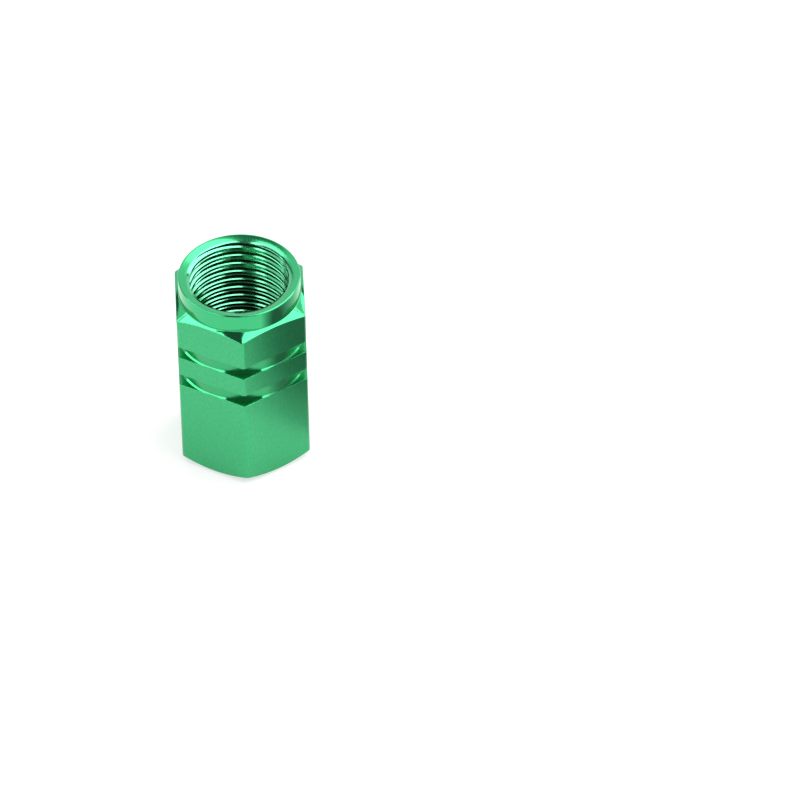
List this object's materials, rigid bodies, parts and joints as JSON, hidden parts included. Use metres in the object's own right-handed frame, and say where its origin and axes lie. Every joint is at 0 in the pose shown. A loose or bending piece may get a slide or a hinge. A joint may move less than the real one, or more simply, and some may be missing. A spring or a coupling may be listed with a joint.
{
  "type": "tyre valve cap",
  "caption": "Hexagon tyre valve cap turned from anodised aluminium bar, with a round neck, turned grooves, a threaded blind bore and a rubber sealing washer inside.",
  "frame": {"origin": "centre of the closed end's flat face, which the cap stands on", "axes": "+Z along the axis, from the closed end out of the threaded mouth; a hexagon corner points along -Y and two flats face along X"},
  "size_m": [0.0094, 0.0108, 0.016],
  "materials": {
    "anodised_aluminium": "green anodised, satin flats and finely turned ends",
    "washer_rubber": "matt black"
  },
  "bodies": {
    "root": {"cap_body": "anodised_aluminium", "sealing_washer": "washer_rubber"}
  },
  "joints": []
}
